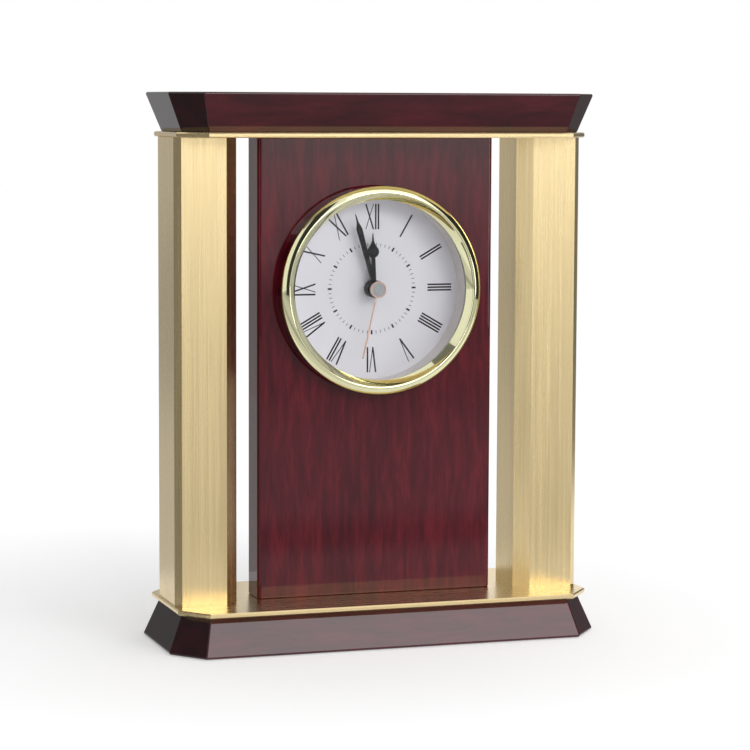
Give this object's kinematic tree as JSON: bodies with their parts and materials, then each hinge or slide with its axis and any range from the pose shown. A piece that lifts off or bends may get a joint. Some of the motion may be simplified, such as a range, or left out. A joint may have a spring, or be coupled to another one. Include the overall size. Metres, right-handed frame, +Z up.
{
  "type": "desk clock",
  "caption": "Desk clock with a round dial in a lacquered panel between two bevelled brass columns, on a flared base under a flared crown, with a running quartz train inside.",
  "frame": {"origin": "on the table, under the middle of the base, at the bottom centre of the bounding box", "axes": "+Z up, +X to the right as seen from the front, +Y towards the back; the dial faces -Y"},
  "size_m": [0.187, 0.075, 0.23],
  "materials": {
    "lacquered_wood": "dark red-brown mottled wood under high-gloss lacquer",
    "plain_wood": "bare hardwood",
    "brushed_brass": "brushed along its length and lacquered",
    "polished_brass": "polished, pale greenish gold",
    "turned_brass": "as turned",
    "felt": "green felt",
    "steel": "zinc-plated steel",
    "can_steel": "drawn steel sheet",
    "glass": "clear mineral glass",
    "dial_silver": "silver-white painted aluminium",
    "ring_grey": "pale grey satin",
    "rubber": "black rubber",
    "hand_blued": "blue-black steel",
    "hand_copper": "copper coloured",
    "cap_grey": "turned aluminium",
    "case_black": "black moulded plastic",
    "wheel_white": "natural acetal",
    "bridge_plastic": "moulded plastic",
    "board_green": "solder-masked board",
    "chip_black": "black resin",
    "crystal_can": "tinned metal can",
    "soft_iron": "annealed iron sheet",
    "magnet": "sintered magnet",
    "copper_wire": "enamelled copper wire",
    "bobbin_plastic": "moulded plastic",
    "battery_sleeve": "plain printed sleeve",
    "contact_metal": "nickel-plated spring metal"
  },
  "bodies": {
    "case": {"base_block": "lacquered_wood", "crown_block": "lacquered_wood", "front_panel": "lacquered_wood", "dial_boss": "lacquered_wood", "column_plugs": "plain_wood", "lower_plate": "brushed_brass", "upper_plate": "brushed_brass", "left_column": "brushed_brass", "right_column": "brushed_brass", "base_felt": "felt", "tie_rods": "steel", "tie_rod_nuts": "steel", "tie_rod_washers": "steel", "crown_inserts": "turned_brass", "panel_screws_lower": "steel", "panel_screws_upper": "steel", "bezel": "polished_brass", "glass_lens": "glass", "clock_can": "can_steel", "inner_ring": "ring_grey", "dial_plate": "dial_silver", "rubber_gasket": "rubber", "movement_front_plate": "case_black", "movement_cover": "case_black", "movement_screws": "steel", "stator": "soft_iron", "coil_core": "soft_iron", "coil_bobbin": "bobbin_plastic", "coil_winding": "copper_wire", "train_bridge": "bridge_plastic", "circuit_board": "board_green", "chip_cover": "chip_black", "crystal": "crystal_can", "battery_cell": "battery_sleeve", "positive_contact": "contact_metal", "negative_contact": "contact_metal"},
    "hour": {"hour_wheel": "wheel_white", "hour_hand": "hand_blued"},
    "minute": {"cannon_pinion": "turned_brass", "minute_hand": "hand_blued"},
    "seconds": {"seconds_wheel": "wheel_white", "seconds_arbor": "steel", "seconds_hub": "hand_blued", "seconds_hand": "hand_copper", "cap_face": "cap_grey"},
    "centre": {"centre_wheel": "wheel_white"},
    "third": {"third_wheel": "wheel_white"},
    "intermediate": {"intermediate_wheel": "wheel_white"},
    "rotor": {"rotor_pinion": "wheel_white", "rotor_magnet": "magnet"},
    "minute_wheel_body": {"minute_wheel": "wheel_white"},
    "setting": {"setting_pinion": "wheel_white", "setting_knob": "case_black"}
  },
  "joints": [
    {"name": "seconds_spin", "type": "hinge", "parent": "case", "child": "seconds", "pos_m": [0, 0, 0.1479], "axis": [0, 1, 0], "continuous": true},
    {"name": "third_spin", "type": "hinge", "parent": "case", "child": "third", "pos_m": [-0.00883, 0, 0.153], "axis": [0, 1, 0], "continuous": true},
    {"name": "centre_spin", "type": "hinge", "parent": "case", "child": "centre", "pos_m": [0, 0, 0.1479], "axis": [0, 1, 0], "continuous": true},
    {"name": "intermediate_spin", "type": "hinge", "parent": "case", "child": "intermediate", "pos_m": [0.00742, 0, 0.15532], "axis": [0, 1, 0], "continuous": true},
    {"name": "rotor_spin", "type": "hinge", "parent": "case", "child": "rotor", "pos_m": [0.01302, 0, 0.16092], "axis": [0, 1, 0], "continuous": true},
    {"name": "minute_spin", "type": "hinge", "parent": "case", "child": "minute", "pos_m": [0, 0, 0.1479], "axis": [0, 1, 0], "continuous": true},
    {"name": "minute_wheel_spin", "type": "hinge", "parent": "case", "child": "minute_wheel_body", "pos_m": [0.00752, 0, 0.14516], "axis": [0, 1, 0], "continuous": true},
    {"name": "hour_spin", "type": "hinge", "parent": "case", "child": "hour", "pos_m": [0, 0, 0.1479], "axis": [0, 1, 0], "continuous": true},
    {"name": "setting_spin", "type": "hinge", "parent": "case", "child": "setting", "pos_m": [0.01504, 0, 0.1479], "axis": [0, 1, 0], "continuous": true}
  ],
  "couplings": [
    {"joint": "third_spin", "follows": "seconds_spin", "ratio": -0.13333},
    {"joint": "centre_spin", "follows": "seconds_spin", "ratio": 0.016667},
    {"joint": "intermediate_spin", "follows": "seconds_spin", "ratio": -6},
    {"joint": "rotor_spin", "follows": "seconds_spin", "ratio": 30},
    {"joint": "minute_wheel_spin", "follows": "minute_spin", "ratio": -0.33333},
    {"joint": "hour_spin", "follows": "minute_spin", "ratio": 0.083333},
    {"joint": "setting_spin", "follows": "minute_spin", "ratio": 1}
  ]
}
